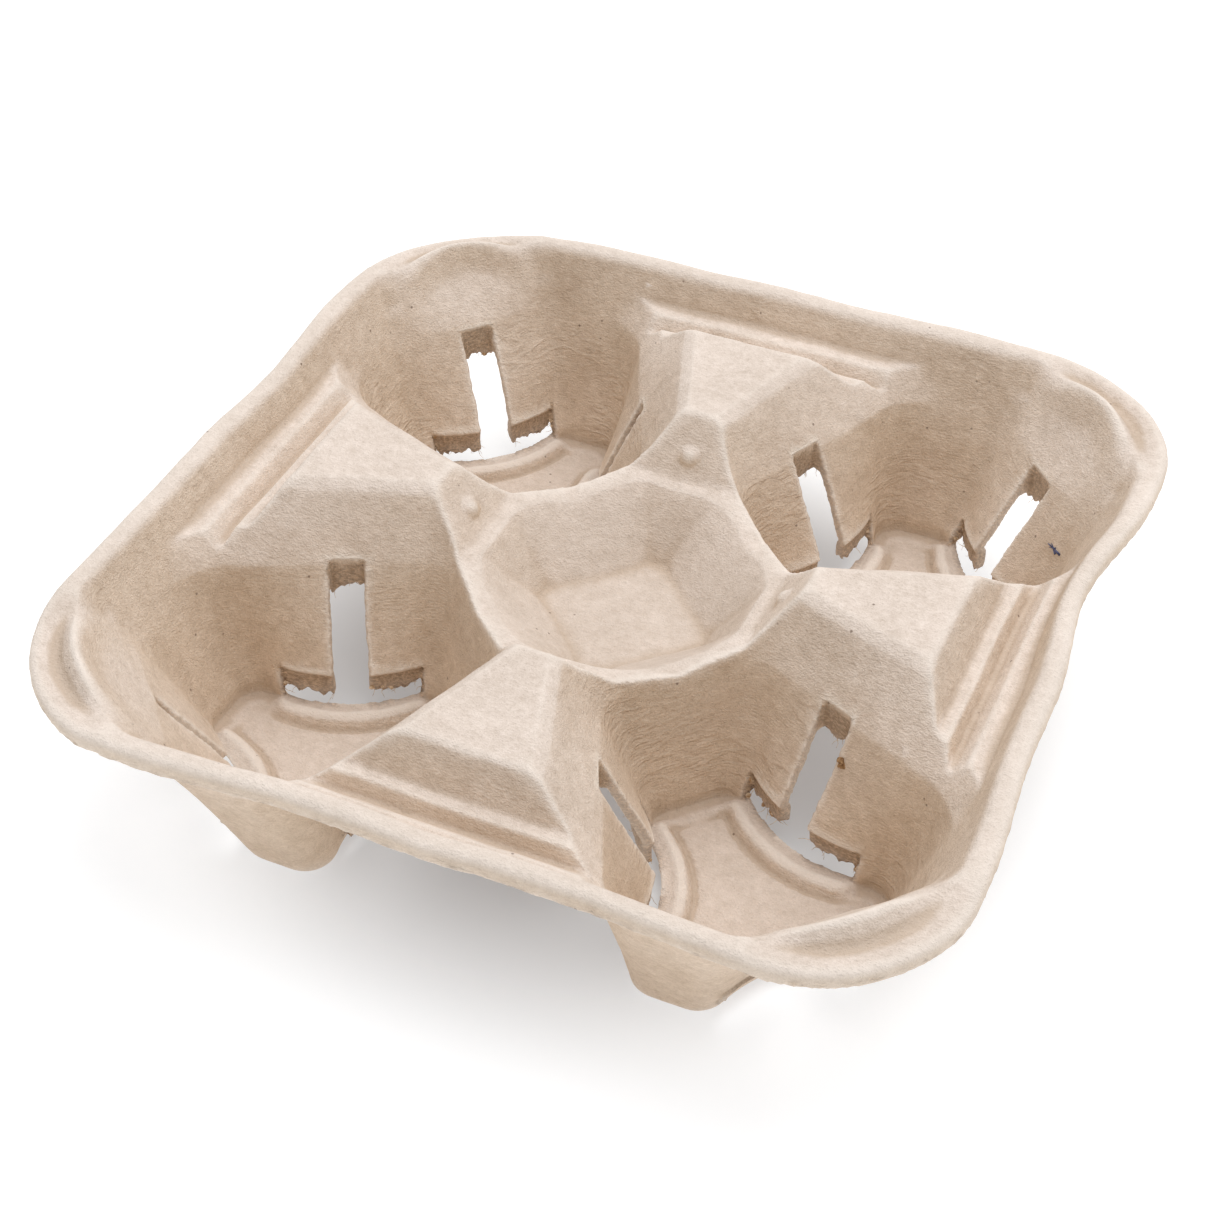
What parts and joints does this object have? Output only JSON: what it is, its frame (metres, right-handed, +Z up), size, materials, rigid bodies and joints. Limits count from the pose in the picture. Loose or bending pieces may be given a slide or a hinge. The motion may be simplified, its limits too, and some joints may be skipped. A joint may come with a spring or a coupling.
{
  "type": "cup carrier",
  "caption": "Square moulded-pulp carrier tray with a slotted cup pocket in each corner, raised posts between the pockets and a shallow basin in the middle.",
  "frame": {"origin": "middle of the tray in plan, on the surface its feet stand on", "axes": "+Z up; each straight side of the tray lies parallel to X or Y, with a post at the middle of each side and a cup pocket in each corner"},
  "size_m": [0.216, 0.216, 0.0547],
  "materials": {
    "pulp": "matte"
  },
  "bodies": {
    "root": {"cup_carrier": "pulp"}
  },
  "joints": []
}
